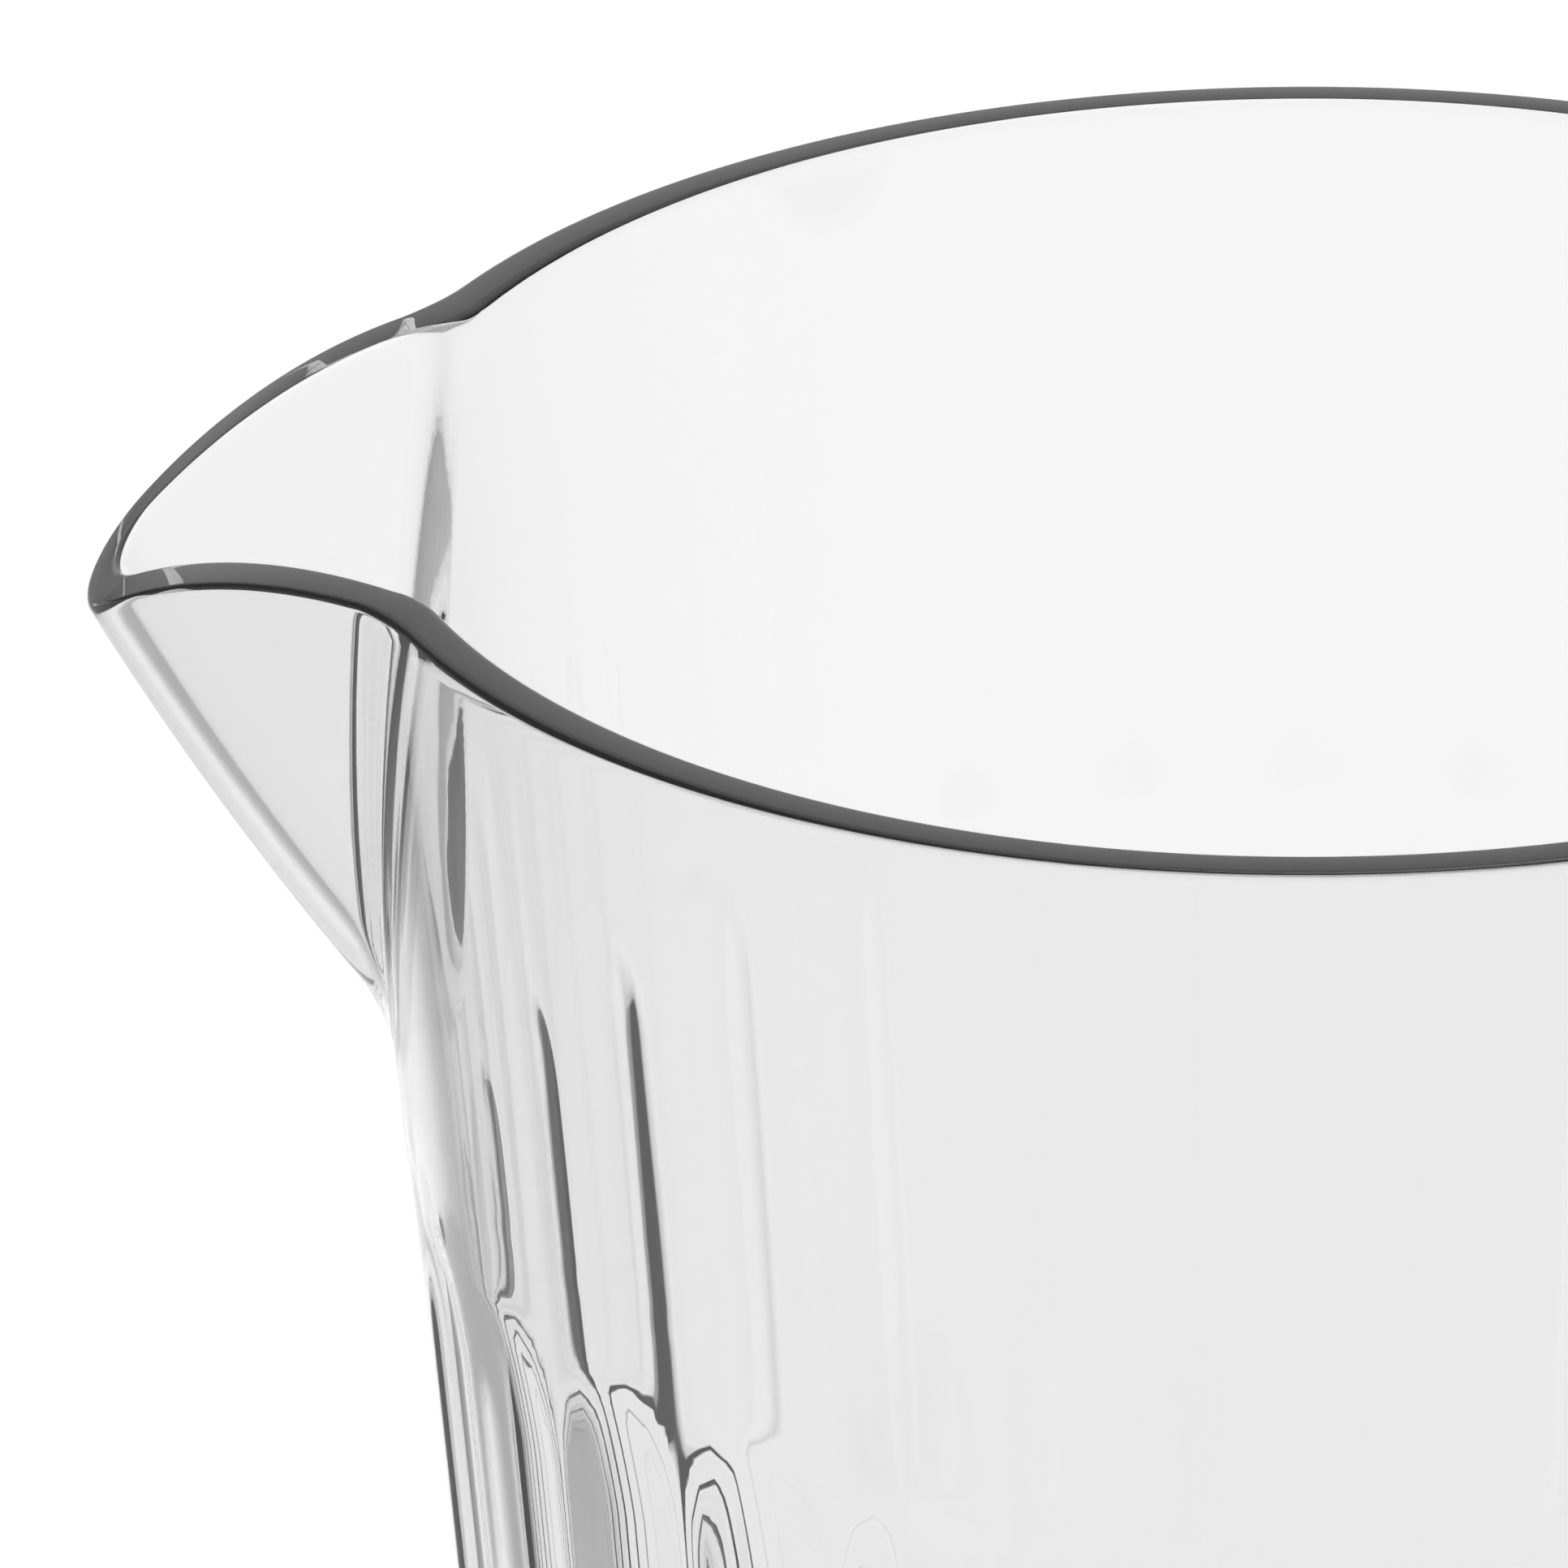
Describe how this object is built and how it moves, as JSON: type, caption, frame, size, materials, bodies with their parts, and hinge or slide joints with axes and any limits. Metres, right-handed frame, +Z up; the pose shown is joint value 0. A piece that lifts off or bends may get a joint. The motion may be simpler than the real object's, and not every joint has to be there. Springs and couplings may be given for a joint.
{
  "type": "serving beaker with pouring spout",
  "caption": "Clear tapering beaker with a deep creased pouring spout, arch-topped flutes round the lower body and a loop handle opposite the spout.",
  "frame": {"origin": "on the body's axis, in the plane that the beaker stands on", "axes": "+Z up along the body's axis, the spout points to -X and the handle to +X, +Y completes the right-handed frame"},
  "size_m": [0.197, 0.1298, 0.2],
  "materials": {
    "clear_plastic": "moulded, clear and glossy",
    "clear_handle": "moulded, clear and glossy"
  },
  "bodies": {
    "root": {"vessel": "clear_plastic", "handle": "clear_handle"}
  },
  "joints": []
}
